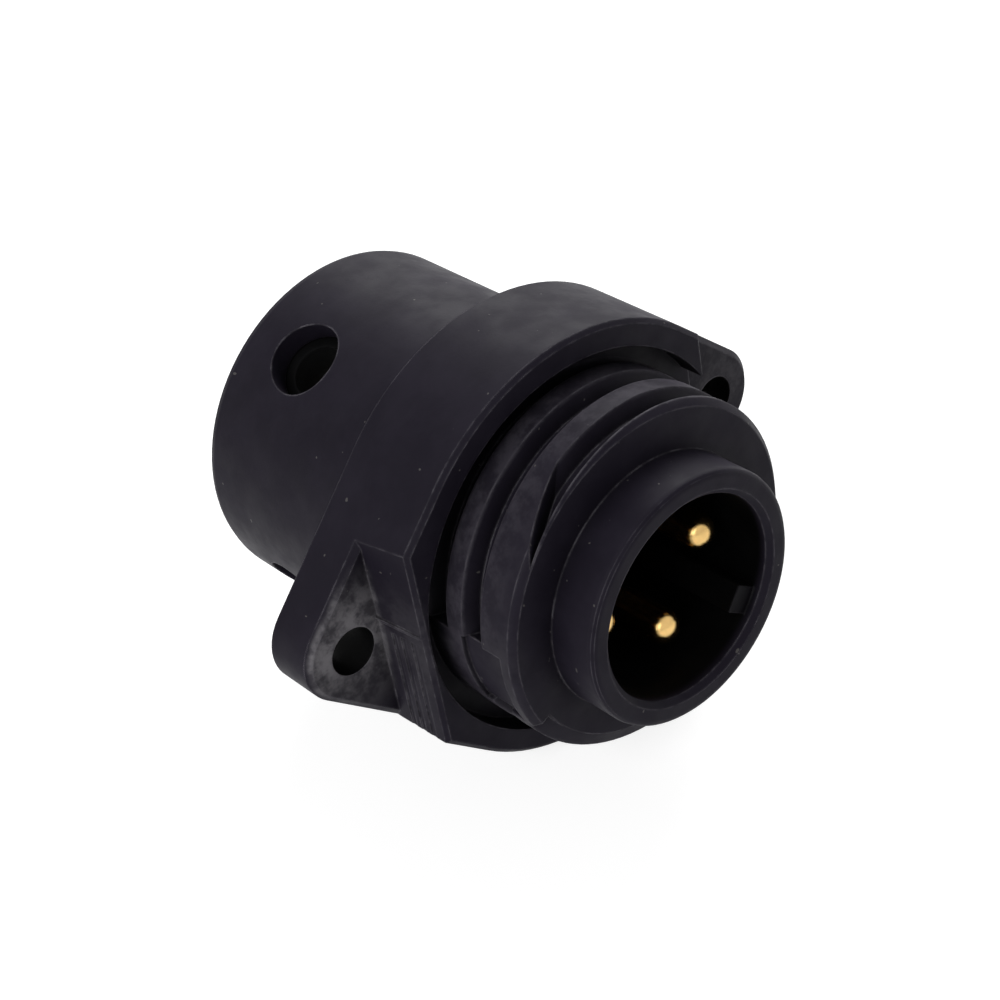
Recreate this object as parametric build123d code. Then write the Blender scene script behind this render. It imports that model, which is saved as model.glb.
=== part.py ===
"""Panel plug of a round power connector: four male pins in a keyed nose, coupling thread, two-ear flange.

Row frame: mating direction -Y, ears along X, +Z up.
The origin is on the axis, in the plane of the flange's rear face.
Every piece is drawn with the connector's axis along +Z and turned into the row frame at the end.
Lengths along the axis grow towards the mating side; the flange's rear face is at zero.
"""
from build123d import *
from math import asin, ceil, cos, degrees, floor, radians, sin, sqrt
import os

os.makedirs("parts", exist_ok=True)

# Running gaps between pieces (mm)
slip_gap = 0.05
face_gap = 0.03
side_gap = 0.10

# How far a cutting shape runs past the face it opens, and how deep a rib reaches into its wall
overrun = 1.0
root_depth = 0.5

# Flat steps in each rounded edge, and how near an edge has to lie to a plane to count as in it
arc_steps = 3
plane_match = 0.001

# Flange and boss
boss_r = 15.2
boss_height = 8.0
boss_edge = 0.3
ear_thickness = 3.9
ear_tip_r = 3.6
ear_hole_spacing = 33.0
ear_hole_r = 1.65
ear_edge = 0.4
rear_edge = 0.2
key_side_wall_x = 12.2
plain_side_wall_x = 13.8
wall_draft = 0.4
wall_window_width = 12.6

# Marks of the moulding tool on the plain side's wall
seam_height = 0.14
seam_width = 0.22
seam_offset = 1.1
score_depth = 0.1
score_width = 0.4
score_top = 0.4
score_heights = (4.9, 5.7, 6.6)

# Ring-shaped recess in the boss around the foot of the thread
recess_r = 13.4
recess_floor = 6.2

# Threaded barrel
thread_major_r = 12.0
thread_depth = 1.15
thread_pitch = 3.175
thread_root_width = 0.75
thread_mouth_width = 1.75
barrel_end = 14.05
barrel_edge = 0.45
thread_phase_angle = 95.0
thread_phase_height = 12.85
flat_start_angle = 175.0
flat_width_angle = 29.0
closing_angle = 129.0
closing_slope = 16.0
thread_overrun = 0.4
flat_depth = 0.35
flat_rear = 9.3
flat_land = 1.2

# Nose and socket
nose_r = 8.75
nose_end = 17.6
nose_edge_r = 0.45
nose_bore_r = 7.05
nose_bore_chamfer = 0.4
key_angle = -37.5
key_width = 1.9
key_height = 1.65
key_setback = 0.9

# Rear sleeve
sleeve_r = 12.3
sleeve_end = -16.8
sleeve_edge_r = 0.8
sleeve_bore_share = 0.862
sleeve_bore_chamfer = 0.5
shoulder_height = 3.4
ring_groove_depth = 0.6
locator_angle = 75.0
locator_width = 1.6
locator_height = 0.75

# Contacts
contact_count = 4
pin_angle = 7.5
pin_pitch_r = 4.7
pin_r = 1.2
pin_tip = 14.65
pin_dome = 0.95
collar_r = 1.9
collar_length = 1.35
tail_r = 1.0
tail_length = 1.95

# Socket floor piece and contact carrier
floor_height = 6.0
floor_flange_length = 1.95
carrier_wall_share = 0.171

# Terminal blocks, measured along the screw's own radial direction
screw_angle = 30.0
screw_height = -10.7
block_inner = 3.3
block_right = 2.2
block_left = 3.3
block_rear = -14.2
block_front = -5.7
block_wall_front = 2.2
floor_share = 0.13
roof_share = 0.325
clamp_hole_half = 1.65
block_edge = 0.2

# Clamp screws and clamp plates
screw_r = 1.43
screw_stand = 0.6
screw_slot_width = 0.55
screw_slot_depth = 0.8
screw_chamfer = 0.25
screw_tip_r = 0.88
screw_tip_length = 0.5
driver_hole_r = 2.65
carrier_driver_r = 1.9
plate_share = 0.13
lift_share = 0.1
plate_half_width = 1.5
plate_half_length = 2.6
plate_edge = 0.15

# Retaining ring
ring_thickness = 0.9
ring_width = 1.75
ring_rim_gap = 0.06
ring_opening = 36.0
ring_angle = -105.0
ring_eye_r = 0.5
ring_seat_depth = 0.9

# Values that follow from the sizes above
ear_centre = ear_hole_spacing / 2
flank_angle = degrees(asin((boss_r - ear_tip_r) / ear_centre))
thread_root_r = thread_major_r - thread_depth
sleeve_bore_r = sleeve_bore_share * sleeve_r
ring_top = sleeve_end + ring_seat_depth + ring_thickness
carrier_rear = ring_top + face_gap
floor_flange_top = shoulder_height - face_gap
floor_flange_bottom = floor_flange_top - floor_flange_length
carrier_front = floor_flange_bottom - face_gap
carrier_r = sleeve_bore_r - side_gap
chamber_r = carrier_r * (1 - carrier_wall_share)
block_outer = sqrt(chamber_r ** 2 - (block_left + side_gap) ** 2) - side_gap
screw_end = block_outer + screw_stand
block_depth = block_outer - block_inner
cavity_inner = block_inner + floor_share * block_depth
cavity_outer = block_outer - roof_share * block_depth
plate_inner = cavity_inner + lift_share * block_depth
plate_outer = plate_inner + plate_share * block_depth
ring_outer_r = sleeve_bore_r + ring_groove_depth - ring_rim_gap
ring_inner_r = ring_outer_r - ring_width


def to_row(shape):
    """Turn the axis from +Z to the mating direction -Y."""
    return Rot(90, 0, 0) * shape


def rod(radius, bottom, top):
    """Round bar on the axis between two heights."""
    return Pos(0, 0, (bottom + top) / 2) * Cylinder(radius, top - bottom)


def box_between(x0, x1, y0, y1, z0, z1):
    """Box between six planes."""
    centre = Pos((x0 + x1) / 2, (y0 + y1) / 2, (z0 + z1) / 2)
    return centre * Box(x1 - x0, y1 - y0, z1 - z0)


def turned(points):
    """Solid of revolution from (radius, height) points."""
    outline = make_face(Polyline(*[(r, 0, h) for r, h in points], close=True))
    return revolve(outline, Axis.Z)


def radial_rod(radius, inner, outer, height):
    """Round bar pointing away from the axis at the given height."""
    return Pos((inner + outer) / 2, 0, height) * Rot(0, 90, 0) * Cylinder(radius, outer - inner)


def lozenge(height):
    """Two-ear flange plate: round middle, straight flanks, round ear tips."""
    middle = rod(boss_r, 0, height)
    tips = [Pos(side * ear_centre, 0, 0) * rod(ear_tip_r, 0, height) for side in (-1, 1)]
    reach = 90 - flank_angle
    corners = []
    for side_x, side_y in ((1, 1), (-1, 1), (-1, -1), (1, -1)):
        near = (side_x * boss_r * cos(radians(reach)), side_y * boss_r * sin(radians(reach)))
        far_x = side_x * (ear_centre + ear_tip_r * cos(radians(reach)))
        far = (far_x, side_y * ear_tip_r * sin(radians(reach)))
        corners += [far, near] if side_x * side_y > 0 else [near, far]
    web = extrude(make_face(Polyline(*corners, close=True)), height)
    return middle + tips + web


def soften(shape, height, length):
    """Break the edges that lie in one plane."""
    edges = [e for e in shape.edges() if abs(e.center().Z - height) < plane_match]
    return chamfer(edges, length)


def quarter_arc(radius, height, round_r, rise):
    """Points of a rounded edge, from the side up (rise 1) or down (rise -1) to the end face."""
    points = []
    for i in range(arc_steps + 1):
        t = radians(90 * i / arc_steps)
        points.append((radius - round_r + round_r * cos(t), height + rise * round_r * (sin(t) - 1)))
    return points


def between_walls(outset, y0, y1, low, high, edge):
    """Block between the two leaning walls, its plain side moved out by the outset, its rims broken."""
    near, far = -plain_side_wall_x - outset, key_side_wall_x
    corners = [(near - wall_draft, low), (near - wall_draft, ear_thickness), (near, high - edge)]
    corners += [(near + edge, high), (far - edge, high), (far, high - edge)]
    corners += [(far + wall_draft, ear_thickness), (far + wall_draft, low)]
    section = make_face(Polyline(*[(x, 0, h) for x, h in corners], close=True))
    return Pos(0, y1, 0) * extrude(section, y1 - y0, dir=(0, -1, 0))


def flange():
    """Ears at their own thickness with the full-height boss between the two walls."""
    ears = soften(soften(lozenge(ear_thickness), ear_thickness, ear_edge), 0, rear_edge)
    reach = 2 * boss_r
    middle = ear_thickness / 2
    boss = soften(lozenge(boss_height), boss_height, boss_edge)
    body = ears + (boss & between_walls(0, -reach, reach, middle, boss_height, boss_edge))
    seam_top = boss_height - boss_edge
    body += between_walls(seam_height, seam_offset, seam_offset + seam_width, middle, seam_top, seam_height)
    for height in score_heights:
        body -= wall_score(height)
    for side in (-1, 1):
        body -= Pos(side * ear_centre, 0, 0) * rod(ear_hole_r, -overrun, ear_thickness + overrun)
    body -= rod(recess_r, recess_floor, boss_height + overrun)
    half = wall_window_width / 2
    return body - box_between(0, boss_r, -half, half, recess_floor, boss_height + overrun)


def wall_score(height):
    """Shallow mark along the lower half of the plain side's wall."""
    lean = wall_draft * (boss_height - height) / (boss_height - ear_thickness)
    face = -plain_side_wall_x - lean
    return box_between(face - overrun, face + score_depth, -boss_r, score_top, height, height + score_width)


def thread_groove(start_angle, middle_height):
    """One stretch of the helical groove, from one moulding flat to the next."""
    span = 180 - flat_width_angle
    rise = thread_pitch * span / 360
    helix = Helix(pitch=thread_pitch, height=rise, radius=thread_root_r)
    out = thread_depth + thread_overrun
    narrow = thread_root_width / 2
    wide = narrow + (thread_mouth_width - thread_root_width) / 2 * out / thread_depth
    points = [(0, -narrow), (out, -wide), (out, wide), (0, narrow)]
    lead = Plane(origin=(thread_root_r, 0, 0), x_dir=(1, 0, 0), z_dir=(0, -1, 0))
    profile = make_face(Polyline(*points, close=True))
    groove = sweep(lead * profile, path=helix, is_frenet=True)
    return Rot(0, 0, start_angle) * Pos(0, 0, middle_height) * groove


def sector(radius, bottom, top, start, width):
    """Slice of a round bar between two angles."""
    reach = 2 * radius
    middle = radians(width / 2)
    points = [(0, 0), (reach, 0), (reach * cos(middle), reach * sin(middle))]
    points += [(reach * cos(2 * middle), reach * sin(2 * middle))]
    wedge = extrude(Pos(0, 0, bottom) * make_face(Polyline(*points, close=True)), top - bottom)
    return (Rot(0, 0, start) * wedge) & rod(radius, bottom, top)


def behind_closing_line():
    """All that lies behind the slanting line along which the front groove runs out."""
    reach = 4 * thread_major_r
    middle = thread_phase_height + thread_pitch * (closing_angle - thread_phase_angle) / 360
    block = Rot(closing_slope, 0, 0) * Pos(0, 0, -reach / 2) * Box(reach, reach, reach)
    return Rot(0, 0, closing_angle) * Pos(thread_major_r, 0, middle) * block


def barrel():
    """Coupling thread; its groove stops at two shallow moulding flats."""
    edge = barrel_edge
    base = recess_floor - overrun
    outline = [(0, base), (thread_major_r, base), (thread_major_r, barrel_end - edge)]
    outline += [(thread_major_r - edge, barrel_end), (0, barrel_end)]
    body = turned(outline)
    land = barrel_end - flat_land
    core = rod(thread_major_r - flat_depth, flat_rear - overrun, land + overrun)
    for half in (0, 1):
        start = flat_start_angle + flat_width_angle + 180 * half - 180
        height = thread_phase_height + thread_pitch * (start - thread_phase_angle) / 360
        first = ceil((recess_floor - height) / thread_pitch) - 1
        last = floor((barrel_end + thread_mouth_width / 2 - height) / thread_pitch)
        for turn in range(first, last + 1):
            groove = thread_groove(start, height + turn * thread_pitch)
            if half == 0 and turn == last:
                groove -= behind_closing_line()
            body -= groove
        at_angle = flat_start_angle + 180 * half
        body -= sector(thread_major_r + overrun, flat_rear, land, at_angle, flat_width_angle) - core
    return body


def nose_and_sleeve_profile():
    """Outside of the nose and of the rear sleeve as one turned core."""
    points = [(0, sleeve_end)]
    points += reversed(quarter_arc(sleeve_r, sleeve_end, sleeve_edge_r, -1))
    points += [(sleeve_r, boss_height / 2), (nose_r, boss_height / 2)]
    points += quarter_arc(nose_r, nose_end, nose_edge_r, 1)
    points.append((0, nose_end))
    return turned(points)


def housing_bore():
    """Stepped bore: socket in front, carrier space behind, with the ring groove."""
    chamfer_in = nose_bore_chamfer
    lead = sleeve_bore_chamfer
    groove_r = sleeve_bore_r + ring_groove_depth
    groove_low = sleeve_end + ring_seat_depth - face_gap
    groove_high = ring_top
    mouth = nose_end + overrun
    rear = sleeve_end - overrun
    points = [(0, rear), (sleeve_bore_r + lead, rear), (sleeve_bore_r + lead, sleeve_end)]
    points += [(sleeve_bore_r, sleeve_end + lead), (sleeve_bore_r, groove_low), (groove_r, groove_low)]
    points += [(groove_r, groove_high), (sleeve_bore_r, groove_high), (sleeve_bore_r, shoulder_height)]
    points += [(nose_bore_r, shoulder_height), (nose_bore_r, nose_end - chamfer_in)]
    points += [(nose_bore_r + chamfer_in, nose_end), (nose_bore_r + chamfer_in, mouth), (0, mouth)]
    return turned(points)


def locator(width, height, bottom, top):
    """Rib that keeps the inner pieces from turning, at the bore wall of the sleeve."""
    half = width / 2
    rib = box_between(sleeve_bore_r - height, sleeve_bore_r + root_depth, -half, half, bottom, top)
    return Rot(0, 0, locator_angle) * rib


def housing():
    """One black moulding: sleeve, flange, threaded barrel and nose."""
    body = flange() + nose_and_sleeve_profile() + barrel()
    body -= housing_bore()
    driver_hole = radial_rod(driver_hole_r, sleeve_bore_r - overrun, sleeve_r + overrun, screw_height)
    for hole in at_screws(driver_hole):
        body -= hole
    half = key_width / 2
    key = box_between(nose_bore_r - key_height, nose_bore_r + root_depth, -half, half,
                      floor_height + face_gap, nose_end - key_setback)
    body += Rot(0, 0, key_angle) * key
    body += locator(locator_width, locator_height, carrier_rear + overrun, shoulder_height)
    return to_row(body)


def at_pins(shape):
    """One copy of a shape at each pin."""
    step = 360 / contact_count
    return [Rot(0, 0, pin_angle + step * k) * Pos(pin_pitch_r, 0, 0) * shape for k in range(contact_count)]


def at_screws(shape):
    """One copy of a shape at each clamp screw's angle."""
    step = 360 / contact_count
    return [Rot(0, 0, screw_angle + step * k) * shape for k in range(contact_count)]


def socket_floor():
    """Insulating floor of the socket that the pins stand in."""
    low, high = floor_flange_bottom - overrun, shoulder_height + overrun
    body = rod(carrier_r, floor_flange_bottom, floor_flange_top)
    body += rod(nose_bore_r - side_gap, floor_flange_bottom, floor_height)
    for hole in at_pins(rod(pin_r + slip_gap, low, floor_height + overrun)):
        body -= hole
    body -= locator(locator_width + 2 * side_gap, locator_height + side_gap, low, high)
    return to_row(body)


def contact_carrier():
    """Insulating carrier with four chambers for the terminal blocks."""
    low, high = carrier_rear - overrun, carrier_front + overrun
    body = rod(carrier_r, carrier_rear, carrier_front)
    body -= locator(locator_width + 2 * side_gap, locator_height + side_gap, low, high)
    shank = rod(tail_r + slip_gap, block_front - overrun, high)
    seat = rod(collar_r + slip_gap, carrier_front - collar_length - face_gap, high)
    chamber = box_between(block_inner - side_gap, block_outer + side_gap, -block_left - side_gap,
                          block_right + side_gap, low, block_front + face_gap)
    window = radial_rod(carrier_driver_r, block_outer, carrier_r + overrun, screw_height)
    for cut in at_pins(shank + seat) + at_screws(chamber) + at_screws(window):
        body -= cut
    return to_row(body)


def pin(index):
    """Turned male pin with a domed tip and a collar; its end is fixed in the terminal block."""
    collar_top = floor_flange_bottom - face_gap
    collar_low = collar_top - collar_length
    points = [(0, block_front - tail_length), (tail_r, block_front - tail_length), (tail_r, collar_low)]
    points += [(collar_r, collar_low), (collar_r, collar_top), (pin_r, collar_top)]
    points.append((pin_r, pin_tip - pin_dome))
    for i in range(1, arc_steps):
        t = radians(90 * i / arc_steps)
        points.append((pin_r * cos(t), pin_tip - pin_dome + pin_dome * sin(t)))
    points.append((0, pin_tip))
    return to_row(at_pins(turned(points))[index])


def terminal_block(index):
    """Box terminal with a wire space open to the rear and a tapped roof."""
    body = box_between(block_inner, block_outer, -block_left, block_right, block_rear, block_front)
    body = chamfer(body.edges().filter_by(Axis.Z), block_edge)
    half = clamp_hole_half
    body -= box_between(cavity_inner, cavity_outer, -half, half, block_rear - overrun,
                        block_front - block_wall_front)
    middle = (cavity_inner + cavity_outer) / 2
    body -= radial_rod(screw_r + slip_gap, middle, block_outer + overrun, screw_height)
    body = at_screws(body)[index]
    body -= at_pins(rod(tail_r, block_front - tail_length, block_front + overrun))[index]
    return to_row(body)


def clamp_plate(index):
    """Flat plate that the screw presses down on the wire."""
    body = box_between(plate_inner, plate_outer, -plate_half_width, plate_half_width,
                       screw_height - plate_half_length, screw_height + plate_half_length)
    body = chamfer(body.edges().filter_by(Axis.X), plate_edge)
    body -= radial_rod(screw_tip_r + slip_gap, plate_inner - overrun, plate_outer + overrun, screw_height)
    return to_row(at_screws(body)[index])


def clamp_screw(index):
    """Headless slotted screw with a stepped tip turning in the plate."""
    neck = plate_outer + face_gap
    points = [(0, neck - screw_tip_length), (screw_tip_r, neck - screw_tip_length), (screw_tip_r, neck)]
    points += [(screw_r, neck), (screw_r, screw_end - screw_chamfer), (screw_r - screw_chamfer, screw_end)]
    points += [(0, screw_end)]
    body = turned(points)
    half = screw_slot_width / 2
    body -= box_between(-screw_r - overrun, screw_r + overrun, -half, half, screw_end - screw_slot_depth,
                        screw_end + overrun)
    lying = Pos(0, 0, screw_height) * Rot(0, 90, 0) * body
    return to_row(at_screws(lying)[index])


def retaining_ring():
    """Open spring ring behind the carrier, with an eye at each end."""
    low = ring_top - ring_thickness
    under, over = low - overrun, ring_top + overrun
    body = rod(ring_outer_r, low, ring_top) - rod(ring_inner_r, under, over)
    body -= sector(ring_outer_r + overrun, under, over, ring_angle - ring_opening / 2, ring_opening)
    eye_offset = ring_opening / 2 + degrees(2 * ring_eye_r / ring_inner_r)
    for side in (-1, 1):
        eye = Pos((ring_inner_r + ring_outer_r) / 2, 0, 0) * rod(ring_eye_r, under, over)
        body -= Rot(0, 0, ring_angle + side * eye_offset) * eye
    return to_row(body)


def save(name, shape):
    """Write one piece to its own file."""
    export_step(shape, f"parts/{name}.step")


save("housing", housing())
save("socket_floor", socket_floor())
save("contact_carrier", contact_carrier())
save("power_pin_1", pin(0))
save("power_pin_2", pin(1))
save("power_pin_3", pin(2))
save("earth_pin", pin(3))
for number in range(contact_count):
    save(f"terminal_block_{number + 1}", terminal_block(number))
    save(f"clamp_plate_{number + 1}", clamp_plate(number))
    save(f"clamp_screw_{number + 1}", clamp_screw(number))
save("retaining_ring", retaining_ring())
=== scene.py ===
"""Looks of the round power connector: materials, smooth pins, floor, lights and camera round the frame."""

from math import cos, pi, radians, sin

import bpy
from mathutils import Matrix, Vector


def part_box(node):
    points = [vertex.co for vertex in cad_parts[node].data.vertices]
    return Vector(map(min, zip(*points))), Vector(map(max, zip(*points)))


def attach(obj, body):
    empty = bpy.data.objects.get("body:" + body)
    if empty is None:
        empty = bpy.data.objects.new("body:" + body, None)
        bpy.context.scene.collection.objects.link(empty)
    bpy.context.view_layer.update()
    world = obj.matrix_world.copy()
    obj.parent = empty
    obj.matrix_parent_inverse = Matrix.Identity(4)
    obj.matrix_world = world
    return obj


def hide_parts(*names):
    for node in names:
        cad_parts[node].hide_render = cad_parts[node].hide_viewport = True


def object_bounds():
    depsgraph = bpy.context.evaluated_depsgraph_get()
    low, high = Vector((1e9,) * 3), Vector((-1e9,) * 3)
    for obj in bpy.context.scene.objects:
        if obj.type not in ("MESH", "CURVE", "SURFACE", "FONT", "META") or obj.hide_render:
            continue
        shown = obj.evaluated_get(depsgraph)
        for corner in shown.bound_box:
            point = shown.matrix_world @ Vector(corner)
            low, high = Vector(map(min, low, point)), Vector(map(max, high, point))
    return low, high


MM = 0.001

# Camera fitted to the photo, in the part's own frame (mm); the picture counts as 1000 by 1000 pixels
PICTURE_PX = 1000
FOCAL_PX = 2200
SENSOR_MM = 36
CLIP_START = 0.01
CAMERA_PLACE = (-69.733, -95.469, 88.8)
CAMERA_RIGHT = (0.72771, -0.66916, -0.15055)
CAMERA_UP = (0.49976, 0.36697, 0.78459)

# Floor, world and lamps; a lamp is its name, place (m), width (m) and power (W), aimed at the part's origin
FLOOR_REACH = 3.0
FLOOR_DROP = 0.02 * MM
FLOOR_GREY = (0.6, 0.6, 0.6, 1)
FLOOR_ROUGHNESS = 0.9
FLOOR_GLOW = 0.76
WHITE = (1, 1, 1, 1)
WORLD_LIGHT = 0.18
WORLD_SEEN = 1.0
LAMPS = (
    ("key", (0.3, 0.2, 0.3), 0.32, 2.1),
    ("front", (-0.35, -0.12, 0.22), 0.3, 1.0),
)

# Colours of the black mouldings: marks of handling with painted highlights on edges, crests and the near ear,
# and painted shade for the darkest hollows
# painted highlight: edge wear lightened to stand for light catching the edges
WORN_EDGE_AND_HIGHLIGHT = (0.19, 0.18, 0.205)
# painted highlight: rubbed crests of the thread, lighter than real rubbing
HAZE_AND_HIGHLIGHT = (0.235, 0.225, 0.24)
# painted highlight: pale haze round the near ear's hole, brightest above it
RUBBED_AND_HIGHLIGHT = (0.055, 0.05, 0.063)
DUST = (0.2, 0.19, 0.18)
DUST_SHARE = 0.4
# painted shade: near-black for the hollows, the mouth and the ears' holes
PAINTED_SHADE = (0.0008, 0.0008, 0.0009)

# Reach of the marks, painted highlights and painted shade on the mouldings
EDGE_ROUNDING = 0.22 * MM
METAL_ROUNDING = 0.35 * MM
HOLLOW_REACH = 3.5 * MM
HAZE_AND_HIGHLIGHT_INNER = 1.8 * MM
HAZE_AND_HIGHLIGHT_OUTER = 6.5 * MM

# Sizes of the housing that the marks, painted highlights and painted shade follow
THREAD_R = 12.0 * MM
THREAD_FRONT = 14.0 * MM
MOUTH_R = 7.1 * MM
NOSE_FRONT = 17.6 * MM
EAR_HOLE_X = 16.5 * MM
EAR_HOLE_R = 1.67 * MM
EAR_THICKNESS = 3.9 * MM

# Metals: how much darker their marks are, and how far the roughness spreads
MARK_SHADE = 0.82
METAL_SPREAD = 0.06

# Turned pins: the solids' own sizes, and places along Y
PIN_NODES = ("power_pin_1", "power_pin_2", "power_pin_3", "earth_pin")
PIN_R = 1.2 * MM
PIN_DOME = 0.95 * MM
COLLAR_R = 1.9 * MM
COLLAR_FRONT = -1.39 * MM
COLLAR_REAR = -0.04 * MM
TAIL_R = 1.0 * MM
PIN_CHAMFER = 0.08 * MM
DOME_STEPS = 14
TURNED_SEGMENTS = 72
SHARP_ANGLE = radians(40)

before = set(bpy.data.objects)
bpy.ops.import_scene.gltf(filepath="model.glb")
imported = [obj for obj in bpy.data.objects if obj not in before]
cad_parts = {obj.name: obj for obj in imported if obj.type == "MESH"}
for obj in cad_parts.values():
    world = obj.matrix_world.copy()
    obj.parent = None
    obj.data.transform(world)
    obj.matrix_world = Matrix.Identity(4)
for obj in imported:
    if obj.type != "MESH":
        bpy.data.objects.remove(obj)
cad_low, cad_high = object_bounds()


class Graph:
    """A material and small helpers that add and link its nodes."""

    def __init__(self, name):
        self.material = bpy.data.materials.new(name)
        self.material.use_nodes = True
        self.tree = self.material.node_tree
        self.shader = self.tree.nodes["Principled BSDF"]

    def add(self, kind, **settings):
        node = self.tree.nodes.new(kind)
        for key, value in settings.items():
            setattr(node, key, value)
        return node

    def link(self, source, target):
        self.tree.links.new(source, target)

    def place(self):
        """Position on the piece in metres, which stays with the piece when it moves."""
        return self.add("ShaderNodeTexCoord").outputs["Object"]

    def noise(self, scale, detail, roughness):
        """Noise with this many cells per metre."""
        node = self.add("ShaderNodeTexNoise")
        node.inputs["Scale"].default_value = scale
        node.inputs["Detail"].default_value = detail
        node.inputs["Roughness"].default_value = roughness
        self.link(self.place(), node.inputs["Vector"])
        return node.outputs["Fac"]

    def ramp(self, value, low, high, to_low=0.0, to_high=1.0):
        """Smooth step from to_low at low to to_high at high."""
        node = self.add("ShaderNodeMapRange", interpolation_type="SMOOTHSTEP")
        node.inputs["From Min"].default_value = low
        node.inputs["From Max"].default_value = high
        node.inputs["To Min"].default_value = to_low
        node.inputs["To Max"].default_value = to_high
        self.link(value, node.inputs["Value"])
        return node.outputs["Result"]

    def maths(self, operation, first, second=None):
        """One maths node; each value is a number or a socket."""
        node = self.add("ShaderNodeMath", operation=operation)
        for socket, value in zip(node.inputs, (first, second)):
            if value is None:
                continue
            if isinstance(value, (int, float)):
                socket.default_value = value
            else:
                self.link(value, socket)
        return node.outputs["Value"]

    def times(self, first, *others):
        """Product of several values."""
        for other in others:
            first = self.maths("MULTIPLY", first, other)
        return first

    def mix(self, factor, first, second):
        """Colour between first and second, each a colour or a socket."""
        node = self.add("ShaderNodeMix", data_type="RGBA")
        self.link(factor, node.inputs["Factor"])
        sockets = [s for s in node.inputs if s.type == "RGBA"]
        for socket, value in zip(sockets, (first, second)):
            if isinstance(value, tuple):
                socket.default_value = (*value, 1)
            else:
                self.link(value, socket)
        return [s for s in node.outputs if s.type == "RGBA"][0]

    def bump(self, height, distance, strength, normal):
        node = self.add("ShaderNodeBump")
        node.inputs["Strength"].default_value = strength
        node.inputs["Distance"].default_value = distance
        self.link(height, node.inputs["Height"])
        self.link(normal, node.inputs["Normal"])
        return node.outputs["Normal"]

    def rounded(self, radius):
        """Normal that runs softly over sharp edges."""
        node = self.add("ShaderNodeBevel", samples=4)
        node.inputs["Radius"].default_value = radius
        return node.outputs["Normal"]

    def edge_mask(self, normal, low, high):
        """1 on sharp edges, 0 on faces."""
        flat = self.add("ShaderNodeNewGeometry").outputs["Normal"]
        dot = self.add("ShaderNodeVectorMath", operation="DOT_PRODUCT")
        self.link(normal, dot.inputs[0])
        self.link(flat, dot.inputs[1])
        return self.ramp(self.maths("SUBTRACT", 1.0, dot.outputs["Value"]), low, high)

    def openness(self, reach):
        """0 deep in a hollow, 1 on an open face."""
        node = self.add("ShaderNodeAmbientOcclusion", samples=4)
        node.inputs["Distance"].default_value = reach
        return node.outputs["AO"]


def off_axis(g, parts, centre_x):
    """Distance from an axis along Y that passes through centre_x, on both sides of the middle."""
    aside = g.maths("SUBTRACT", g.maths("ABSOLUTE", parts.outputs["X"]), centre_x)
    squares = [g.maths("MULTIPLY", way, way) for way in (aside, parts.outputs["Z"])]
    return g.maths("SQRT", g.maths("ADD", *squares))


def ear_haze_and_highlight(g, parts):
    """Pale blotches with a painted highlight on the ears' front faces round their holes: most on the near
    ear, and above its hole.
    """
    near_hole = g.ramp(off_axis(g, parts, EAR_HOLE_X), HAZE_AND_HIGHLIGHT_INNER, HAZE_AND_HIGHLIGHT_OUTER, 1.0, 0.0)
    near_ear = g.ramp(parts.outputs["X"], -MM, MM, 1.0, 0.25)
    above = g.ramp(parts.outputs["Z"], -3 * MM, MM, 0.5, 1.0)
    face = -EAR_THICKNESS
    not_wall = g.ramp(parts.outputs["Y"], face - 0.6 * MM, face - 0.02 * MM, 0.12, 1.0)
    not_side = g.ramp(parts.outputs["Y"], face + 0.1 * MM, face + 0.4 * MM, 1.0, 0.0)
    blotch = g.ramp(g.noise(520, 4, 0.65), 0.38, 0.62, 0.25, 1.0)
    return g.times(near_hole, near_ear, above, not_wall, not_side, blotch)


def crest_wear_and_highlight(g, parts):
    """Rubbed patches lightened as a painted highlight on the thread's crests, most towards its rear end."""
    reach = off_axis(g, parts, 0.0)
    crest = g.ramp(reach, THREAD_R - 0.3 * MM, THREAD_R - 0.05 * MM)
    not_boss = g.maths("LESS_THAN", reach, THREAD_R + 0.1 * MM)
    along = g.ramp(parts.outputs["Y"], -THREAD_FRONT, -THREAD_FRONT + 4.0 * MM, 0.25, 1.0)
    not_sleeve = g.maths("LESS_THAN", parts.outputs["Y"], -EAR_THICKNESS)
    blotch = g.ramp(g.noise(640, 4, 0.65), 0.36, 0.64, 0.2, 0.8)
    return g.times(crest, not_boss, along, not_sleeve, blotch)


def outside_holes(g, parts):
    """0 inside the mouth and the ears' holes, which get painted shade, 1 elsewhere."""
    in_mouth = g.maths("LESS_THAN", off_axis(g, parts, 0.0), MOUTH_R)
    behind_rim = g.ramp(parts.outputs["Y"], -NOSE_FRONT + 0.3 * MM, -NOSE_FRONT + 1.1 * MM)
    in_ear = g.maths("LESS_THAN", off_axis(g, parts, EAR_HOLE_X), EAR_HOLE_R)
    hidden = g.maths("MAXIMUM", g.times(in_mouth, behind_rim), in_ear)
    return g.maths("SUBTRACT", 1.0, hidden)


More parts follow.
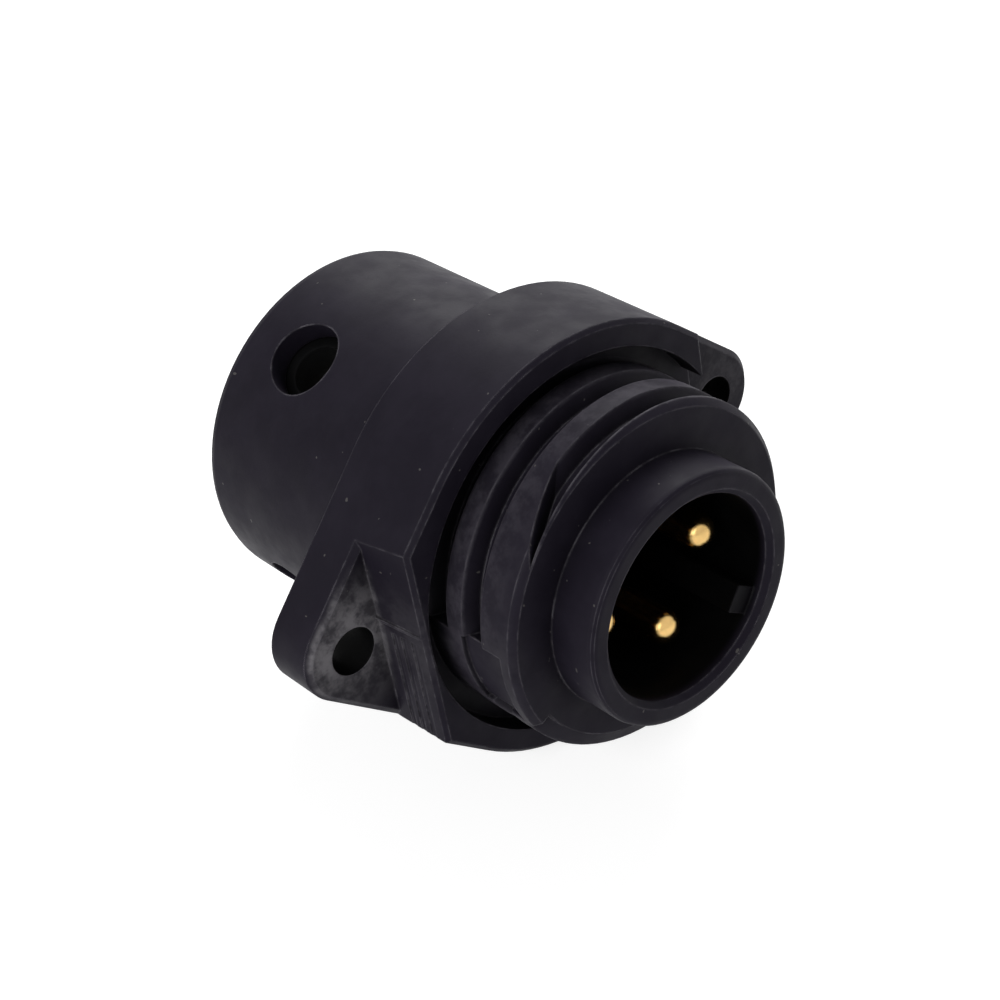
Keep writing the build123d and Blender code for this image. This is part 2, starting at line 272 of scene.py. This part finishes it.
def marks_and_painted_light(g, colour, soft):
    """The colour with marks of handling and painted light: edge wear and rubbed crests, both lightened as
    painted highlight, haze with painted highlight on the near ear, specks of dust, and painted shade inside
    the mouth and the ears' holes.
    """
    parts = g.add("ShaderNodeSeparateXYZ")
    g.link(g.place(), parts.inputs["Vector"])
    worn_and_highlight = g.times(g.edge_mask(soft, 0.01, 0.2), g.ramp(g.noise(900, 3, 0.6), 0.38, 0.62, 0.25, 1.0))
    speck = g.times(g.ramp(g.noise(1900, 1, 0.4), 0.785, 0.8), DUST_SHARE)
    # painted highlight along the edges, on top of their wear
    colour = g.mix(worn_and_highlight, colour, WORN_EDGE_AND_HIGHLIGHT)
    # painted highlight on the thread's crests, with their rubbing
    colour = g.mix(crest_wear_and_highlight(g, parts), colour, RUBBED_AND_HIGHLIGHT)
    # painted highlight round the near ear's hole, with its haze
    colour = g.mix(ear_haze_and_highlight(g, parts), colour, HAZE_AND_HIGHLIGHT)
    colour = g.mix(speck, colour, DUST)
    # painted shade inside the mouth and the ears' holes
    return g.mix(outside_holes(g, parts), PAINTED_SHADE, colour)


def moulded_plastic(name, dark, pale, roughness, add_marks_and_painted_light):
    """Black satin moulding with faint mottling and fine grain, with painted shade in its hollows."""
    g = Graph(name)
    soft = g.rounded(EDGE_ROUNDING)
    colour = g.mix(g.ramp(g.noise(260, 4, 0.6), 0.35, 0.7), dark, pale)
    if add_marks_and_painted_light:
        colour = marks_and_painted_light(g, colour, soft)
    # painted shade: darker deep in hollows, from ambient occlusion
    open_share = g.ramp(g.openness(HOLLOW_REACH), 0.12, 0.75, 0.12, 1.0)
    g.link(g.mix(open_share, PAINTED_SHADE, colour), g.shader.inputs["Base Color"])
    rough = g.ramp(g.noise(450, 4, 0.55), 0.3, 0.7, roughness - 0.05, roughness + 0.07)
    g.link(rough, g.shader.inputs["Roughness"])
    g.shader.inputs["Specular IOR Level"].default_value = 0.06
    waves = g.bump(g.noise(160, 2, 0.4), 0.2 * MM, 0.1, soft)
    grain = g.bump(g.noise(4200, 2, 0.6), 0.02 * MM, 0.3, waves)
    g.link(grain, g.shader.inputs["Normal"])
    return g.material


def plain_metal(name, colour, roughness):
    """Turned or stamped metal with faint marks."""
    g = Graph(name)
    marks = tuple(c * MARK_SHADE for c in colour)
    g.link(g.mix(g.ramp(g.noise(700, 3, 0.6), 0.3, 0.7), marks, colour), g.shader.inputs["Base Color"])
    g.shader.inputs["Metallic"].default_value = 1.0
    rough = g.ramp(g.noise(1600, 3, 0.6), 0.3, 0.7, roughness, roughness + METAL_SPREAD)
    g.link(rough, g.shader.inputs["Roughness"])
    grain = g.bump(g.noise(5200, 2, 0.5), 0.01 * MM, 0.2, g.rounded(METAL_ROUNDING))
    g.link(grain, g.shader.inputs["Normal"])
    return g.material


def dress(looks):
    """Give each CAD node the look of its kind."""
    for name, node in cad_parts.items():
        look = next(m for start, m in looks.items() if name.startswith(start))
        node.data.materials.clear()
        node.data.materials.append(look)


def add_object(name, data):
    piece = bpy.data.objects.new(name, data)
    bpy.context.scene.collection.objects.link(piece)
    return piece


def turned_piece(name, centre, profile):
    """Closed turned solid: profile is (radius, y) from the rear end to the front end, both on the axis."""
    count = TURNED_SEGMENTS
    verts, faces = [], []
    rings = profile[1:-1]
    for radius, y in rings:
        for i in range(count):
            turn = 2 * pi * i / count
            verts.append((centre[0] + radius * cos(turn), y, centre[1] + radius * sin(turn)))
    for ring in range(len(rings) - 1):
        for i in range(count):
            a, b = ring * count + i, ring * count + (i + 1) % count
            faces.append((a, b, b + count, a + count))
    rear, front = len(verts), len(verts) + 1
    verts += [(centre[0], profile[0][1], centre[1]), (centre[0], profile[-1][1], centre[1])]
    last = (len(rings) - 1) * count
    for i in range(count):
        j = (i + 1) % count
        faces += [(rear, j, i), (front, last + i, last + j)]
    mesh = bpy.data.meshes.new(name)
    mesh.from_pydata(verts, [], faces)
    mesh.validate()
    mesh.shade_smooth()
    mesh.set_sharp_from_angle(angle=SHARP_ANGLE)
    return add_object(name, mesh)


def smooth_pin(node_name, look):
    """The turned pin again, with a round dome in place of the solid's few facets."""
    low_corner, high_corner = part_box(node_name)
    centre = ((low_corner[0] + high_corner[0]) / 2, (low_corner[2] + high_corner[2]) / 2)
    tip, tail_end = low_corner[1], high_corner[1]
    profile = [(0, tail_end), (TAIL_R - PIN_CHAMFER, tail_end), (TAIL_R, tail_end - PIN_CHAMFER)]
    profile += [(TAIL_R, COLLAR_REAR), (COLLAR_R - PIN_CHAMFER, COLLAR_REAR)]
    profile += [(COLLAR_R, COLLAR_REAR - PIN_CHAMFER), (COLLAR_R, COLLAR_FRONT), (PIN_R, COLLAR_FRONT)]
    for i in range(DOME_STEPS):
        t = pi / 2 * i / DOME_STEPS
        profile.append((PIN_R * cos(t), tip + PIN_DOME * (1 - sin(t))))
    profile.append((0, tip))
    piece = turned_piece("smooth_" + node_name, centre, profile)
    piece.data.materials.append(look)
    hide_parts(node_name)
    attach(piece, "housing")


def background_seen(tree):
    """1 where the camera, a reflection or a see-through surface looks at the background, 0 for light."""
    path = tree.nodes.new("ShaderNodeLightPath")
    seen = path.outputs["Is Camera Ray"]
    for kind in ("Is Glossy Ray", "Is Transmission Ray"):
        either = tree.nodes.new("ShaderNodeMath")
        either.operation = "MAXIMUM"
        tree.links.new(seen, either.inputs[0])
        tree.links.new(path.outputs[kind], either.inputs[1])
        seen = either.outputs[0]
    return seen


def make_floor():
    """Pale floor just under the part, which shows as white and keeps a faint shadow."""
    reach, level = FLOOR_REACH, cad_low.z - FLOOR_DROP
    corners = [(x, y, level) for x, y in ((-reach, -reach), (reach, -reach), (reach, reach), (-reach, reach))]
    mesh = bpy.data.meshes.new("floor")
    mesh.from_pydata(corners, [], [(0, 1, 2, 3)])
    material = bpy.data.materials.new("floor_white")
    material.use_nodes = True
    tree = material.node_tree
    shader = tree.nodes["Principled BSDF"]
    shader.inputs["Base Color"].default_value = FLOOR_GREY
    shader.inputs["Roughness"].default_value = FLOOR_ROUGHNESS
    shader.inputs["Specular IOR Level"].default_value = 0.0
    shader.inputs["Emission Color"].default_value = WHITE
    glow = tree.nodes.new("ShaderNodeMath")
    glow.operation = "MULTIPLY"
    glow.inputs[1].default_value = FLOOR_GLOW
    tree.links.new(background_seen(tree), glow.inputs[0])
    tree.links.new(glow.outputs[0], shader.inputs["Emission Strength"])
    mesh.materials.append(material)
    floor = add_object("floor", mesh)


def make_world():
    """Even pale light from all sides, with a background that is seen as white."""
    world = bpy.data.worlds.new("studio")
    bpy.context.scene.world = world
    world.use_nodes = True
    tree = world.node_tree
    background = tree.nodes["Background"]
    background.inputs["Color"].default_value = WHITE
    level = tree.nodes.new("ShaderNodeMapRange")
    level.inputs["To Min"].default_value = WORLD_LIGHT
    level.inputs["To Max"].default_value = WORLD_SEEN
    tree.links.new(background_seen(tree), level.inputs["Value"])
    tree.links.new(level.outputs["Result"], background.inputs["Strength"])


def make_lamp(name, place, width, power):
    """Square soft lamp aimed at the part's origin."""
    light = bpy.data.lights.new(name, "AREA")
    light.shape = "RECTANGLE"
    light.size = width
    light.size_y = width
    light.energy = power
    lamp = add_object(name, light)
    lamp.location = place
    lamp.rotation_mode = "QUATERNION"
    lamp.rotation_quaternion = (-Vector(place)).to_track_quat("-Z", "Y")


def make_camera():
    """Camera at the photo's angle."""
    right, up = Vector(CAMERA_RIGHT).normalized(), Vector(CAMERA_UP).normalized()
    back = right.cross(up).normalized()
    up = back.cross(right)
    camera = add_object("camera", bpy.data.cameras.new("camera"))
    camera.data.sensor_width = SENSOR_MM
    camera.data.lens = FOCAL_PX * SENSOR_MM / PICTURE_PX
    camera.data.clip_start = CLIP_START
    turn = Matrix((right, up, back)).transposed().to_4x4()
    camera.matrix_world = Matrix.Translation(Vector(CAMERA_PLACE) * MM) @ turn
    bpy.context.scene.camera = camera


black = moulded_plastic("housing_black", (0.0118, 0.0098, 0.0162), (0.0165, 0.014, 0.022), 0.5, True)
# painted shade: this black is darker than the housing's, for pieces seen only inside the mouth and holes
inner_black_painted_shade = moulded_plastic("insulator_black", (0.004, 0.004, 0.0045), (0.006, 0.006, 0.0065), 0.6, False)
gold = plain_metal("gold_contact", (0.76, 0.5, 0.19), 0.14)
nickel = plain_metal("nickel_brass", (0.72, 0.68, 0.58), 0.28)
zinc = plain_metal("zinc_steel", (0.68, 0.69, 0.71), 0.3)
spring = plain_metal("spring_steel", (0.3, 0.3, 0.31), 0.34)
dress({
    "housing": black,
    "socket_floor": inner_black_painted_shade,
    "contact_carrier": inner_black_painted_shade,
    "power_pin": gold,
    "earth_pin": gold,
    "terminal_block": nickel,
    "clamp_plate": zinc,
    "clamp_screw": zinc,
    "retaining_ring": spring,
})
for pin_name in PIN_NODES:
    smooth_pin(pin_name, gold)

make_floor()
make_world()
for lamp_facts in LAMPS:
    make_lamp(*lamp_facts)
make_camera()

bpy.context.scene.view_settings.view_transform = "Standard"
